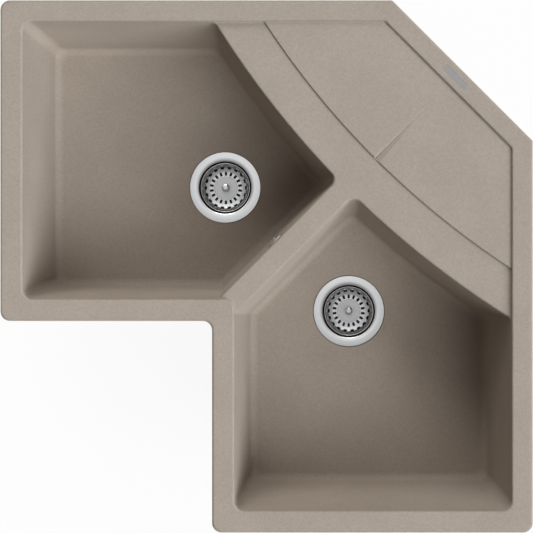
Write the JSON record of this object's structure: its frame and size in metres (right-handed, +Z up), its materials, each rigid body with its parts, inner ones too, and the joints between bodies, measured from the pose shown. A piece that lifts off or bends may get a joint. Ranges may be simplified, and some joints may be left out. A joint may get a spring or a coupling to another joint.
{
  "type": "corner kitchen sink",
  "caption": "L-shaped corner kitchen sink of stone composite with two bowls, a drainboard across the back corner, lift-out basket strainers, an overflow and fixing clamps.",
  "frame": {"origin": "on the rim's seat at the inner corner of the L, 6 mm in from both of its edges, at the height of the worktop", "axes": "+Z up out of the worktop, +X along the back leg to the right, +Y away from the user; the plane x = y is the mirror plane"},
  "size_m": [0.83, 0.83, 0.3056],
  "materials": {
    "composite": "matt, finely speckled greige quartz composite",
    "steel": "brushed stainless steel",
    "polished_steel": "polished stainless steel",
    "rubber": "black rubber",
    "foam": "dark closed-cell foam",
    "plastic": "white polypropylene",
    "hose_plastic": "grey flexible plastic",
    "brass": "machined brass",
    "zinc": "zinc-plated steel"
  },
  "bodies": {
    "sink": {"sink_body": "composite", "rim_seal": "foam", "left_strainer_dish": "steel", "left_flange_seal": "rubber", "left_clamp_screw": "steel", "left_lower_gasket": "rubber", "left_waste_housing": "plastic", "right_strainer_dish": "steel", "right_flange_seal": "rubber", "right_clamp_screw": "steel", "right_lower_gasket": "rubber", "right_waste_housing": "plastic", "overflow_cover": "steel", "overflow_screw": "polished_steel", "overflow_gasket": "rubber", "overflow_elbow": "plastic", "overflow_hose": "hose_plastic", "hose_upper_nut": "plastic", "hose_lower_nut": "plastic", "clamp_insert_left_1": "brass", "clamp_bolt_left_1": "zinc", "clamp_insert_right_1": "brass", "clamp_bolt_right_1": "zinc", "clamp_insert_left_2": "brass", "clamp_bolt_left_2": "zinc", "clamp_insert_right_2": "brass", "clamp_bolt_right_2": "zinc", "clamp_insert_left_3": "brass", "clamp_bolt_left_3": "zinc", "clamp_insert_right_3": "brass", "clamp_bolt_right_3": "zinc", "clamp_insert_left_4": "brass", "clamp_bolt_left_4": "zinc", "clamp_insert_right_4": "brass", "clamp_bolt_right_4": "zinc"},
    "left_strainer": {"left_basket": "steel", "left_basket_knob": "polished_steel", "left_plug_seal": "rubber", "left_basket_stem": "steel"},
    "right_strainer": {"right_basket": "steel", "right_basket_knob": "polished_steel", "right_plug_seal": "rubber", "right_basket_stem": "steel"},
    "clamp_arm_left_1": {"clamp_left_1": "zinc"},
    "clamp_arm_right_1": {"clamp_right_1": "zinc"},
    "clamp_arm_left_2": {"clamp_left_2": "zinc"},
    "clamp_arm_right_2": {"clamp_right_2": "zinc"},
    "clamp_arm_left_3": {"clamp_left_3": "zinc"},
    "clamp_arm_right_3": {"clamp_right_3": "zinc"},
    "clamp_arm_left_4": {"clamp_left_4": "zinc"},
    "clamp_arm_right_4": {"clamp_right_4": "zinc"}
  },
  "joints": [
    {"name": "left_basket_lift", "type": "slide", "parent": "sink", "child": "left_strainer", "axis": [0, 0, 1], "range_m": [0, 0.26]},
    {"name": "right_basket_lift", "type": "slide", "parent": "sink", "child": "right_strainer", "axis": [0, 0, 1], "range_m": [0, 0.26]},
    {"name": "clamp_left_1_swivel", "type": "hinge", "parent": "sink", "child": "clamp_arm_left_1", "pos_m": [-0.19, 0.0128, -0.043], "axis": [0, 0, 1], "range_deg": [0, 90]},
    {"name": "clamp_right_1_swivel", "type": "hinge", "parent": "sink", "child": "clamp_arm_right_1", "pos_m": [0.0128, -0.19, -0.043], "axis": [0, 0, 1], "range_deg": [-90, 0]},
    {"name": "clamp_left_2_swivel", "type": "hinge", "parent": "sink", "child": "clamp_arm_left_2", "pos_m": [-0.3172, 0.225, -0.043], "axis": [0, 0, 1], "range_deg": [0, 90]},
    {"name": "clamp_right_2_swivel", "type": "hinge", "parent": "sink", "child": "clamp_arm_right_2", "pos_m": [0.225, -0.3172, -0.043], "axis": [0, 0, 1], "range_deg": [-90, 0]},
    {"name": "clamp_left_3_swivel", "type": "hinge", "parent": "sink", "child": "clamp_arm_left_3", "pos_m": [-0.15, 0.4752, -0.043], "axis": [0, 0, 1], "range_deg": [0, 90]},
    {"name": "clamp_right_3_swivel", "type": "hinge", "parent": "sink", "child": "clamp_arm_right_3", "pos_m": [0.4752, -0.15, -0.043], "axis": [0, 0, 1], "range_deg": [-90, 0]},
    {"name": "clamp_left_4_swivel", "type": "hinge", "parent": "sink", "child": "clamp_arm_left_4", "pos_m": [0.13, 0.4752, -0.043], "axis": [0, 0, 1], "range_deg": [0, 90]},
    {"name": "clamp_right_4_swivel", "type": "hinge", "parent": "sink", "child": "clamp_arm_right_4", "pos_m": [0.4752, 0.13, -0.043], "axis": [0, 0, 1], "range_deg": [-90, 0]}
  ]
}
